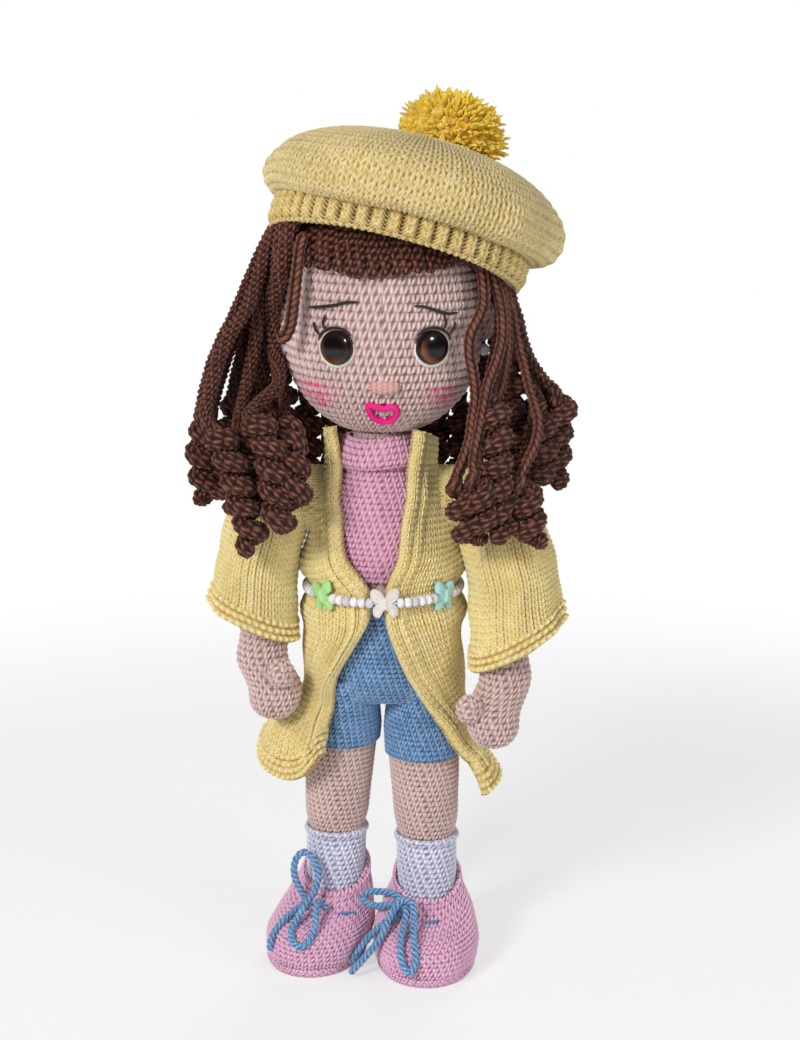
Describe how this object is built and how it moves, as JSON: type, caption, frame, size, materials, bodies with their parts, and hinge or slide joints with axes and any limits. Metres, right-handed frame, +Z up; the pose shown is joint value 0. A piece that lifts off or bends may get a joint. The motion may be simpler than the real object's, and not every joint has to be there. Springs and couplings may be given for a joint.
{
  "type": "amigurumi doll",
  "caption": "Crocheted girl doll with ringlet hair, yellow beret with pompom, open yellow coat with bead belt, pink top, blue shorts, socks and laced pink shoes.",
  "frame": {"origin": "centre of the doll's bounding box, laces left out, on the floor plane under the soles", "axes": "+Z up, the doll faces -Y, +X is the doll's own left"},
  "size_m": [0.157, 0.1103, 0.354],
  "materials": {
    "skin": "pale beige-pink cotton, single crochet",
    "nose": "pinkish cotton, embroidered",
    "pink": "pink cotton, single crochet",
    "denim": "two-tone denim-blue cotton, single crochet",
    "knit": "butter-yellow heathered yarn, knitted look",
    "pompom": "cut and looped yellow yarn",
    "sock": "off-white cotton, single crochet",
    "shoe": "mauve-pink cotton, single crochet",
    "lace": "blue crochet chain",
    "bead": "white plastic beads on a thread",
    "butterfly_green": "pearly green plastic",
    "butterfly_white": "off-white plastic",
    "butterfly_teal": "pearly teal plastic",
    "eye": "brown safety eye, clear gloss dome, black pupil",
    "washer": "plastic locking washer",
    "felt": "white felt",
    "mouth": "magenta thread",
    "lash": "near-black thread",
    "pearl": "pearly bead",
    "hair": "red-brown cotton, crocheted strands",
    "dowel": "wooden stick in the neck (guessed)",
    "arm_thread": "strong thread through both shoulders (guessed)"
  },
  "bodies": {
    "doll": {"torso": "skin", "neck_dowel": "dowel", "shoulder_thread": "arm_thread", "leg_left": "skin", "leg_right": "skin", "top": "pink", "top_collar": "pink", "shorts": "denim", "coat_body": "knit", "sock_left": "sock", "sock_right": "sock", "belt_beads": "bead", "butterfly_green": "butterfly_green", "butterfly_white": "butterfly_white", "butterfly_teal": "butterfly_teal"},
    "head_part": {"head": "skin", "ear_left": "skin", "ear_right": "skin", "nose": "nose", "eye_left": "eye", "eye_right": "eye", "eye_washer_left": "washer", "eye_washer_right": "washer", "eye_backing_left": "felt", "eye_backing_right": "felt", "mouth": "mouth", "eyebrow_left": "lash", "eyebrow_right": "lash", "lashes_left": "lash", "lashes_right": "lash", "earring_left": "pearl", "earring_right": "pearl", "wig_cap": "hair", "fringe": "hair", "hair_front_right": "hair", "hair_outer_right": "hair", "hair_side_right": "hair", "hair_rear_right": "hair", "hair_back_right": "hair", "hair_back_left": "hair", "hair_rear_left": "hair", "hair_inner_left": "hair", "hair_side_left": "hair", "hair_outer_left": "hair", "hair_mid_left": "hair", "hair_front_left": "hair"},
    "beret": {"hat_crown": "knit", "hat_band": "knit", "pompom": "pompom"},
    "left_arm": {"arm_left": "skin", "sleeve_left": "knit"},
    "right_arm": {"arm_right": "skin", "sleeve_right": "knit"},
    "left_shoe": {"shoe_left": "shoe", "sole_left": "shoe", "lace_left": "lace"},
    "right_shoe": {"shoe_right": "shoe", "sole_right": "shoe", "lace_right": "lace"}
  },
  "joints": [
    {"name": "head_turn", "type": "hinge", "parent": "doll", "child": "head_part", "pos_m": [0.00093, -0.00407, 0.2227], "axis": [0, 0, 1], "range_deg": [-15, 15], "deforming": ["hair_front_right", "hair_outer_right", "hair_side_right", "hair_rear_right", "hair_back_right", "hair_back_left", "hair_rear_left", "hair_inner_left", "hair_side_left", "hair_outer_left", "hair_mid_left", "hair_front_left"]},
    {"name": "beret_lift", "type": "slide", "parent": "head_part", "child": "beret", "axis": [0.2504, 0.2178, 0.9433], "range_m": [0, 0.06]},
    {"name": "shoulder_swing_left", "type": "hinge", "parent": "doll", "child": "left_arm", "pos_m": [0.025, -0.00407, 0.196], "axis": [1, 0, 0], "range_deg": [-30, 0]},
    {"name": "shoulder_swing_right", "type": "hinge", "parent": "doll", "child": "right_arm", "pos_m": [-0.02314, -0.00407, 0.196], "axis": [1, 0, 0], "range_deg": [-30, 0]},
    {"name": "shoe_pull_left", "type": "slide", "parent": "doll", "child": "left_shoe", "axis": [0, 0, -1], "range_m": [0, 0.03], "deforming": ["lace_left"]},
    {"name": "shoe_pull_right", "type": "slide", "parent": "doll", "child": "right_shoe", "axis": [0, 0, -1], "range_m": [0, 0.03], "deforming": ["lace_right"]}
  ]
}
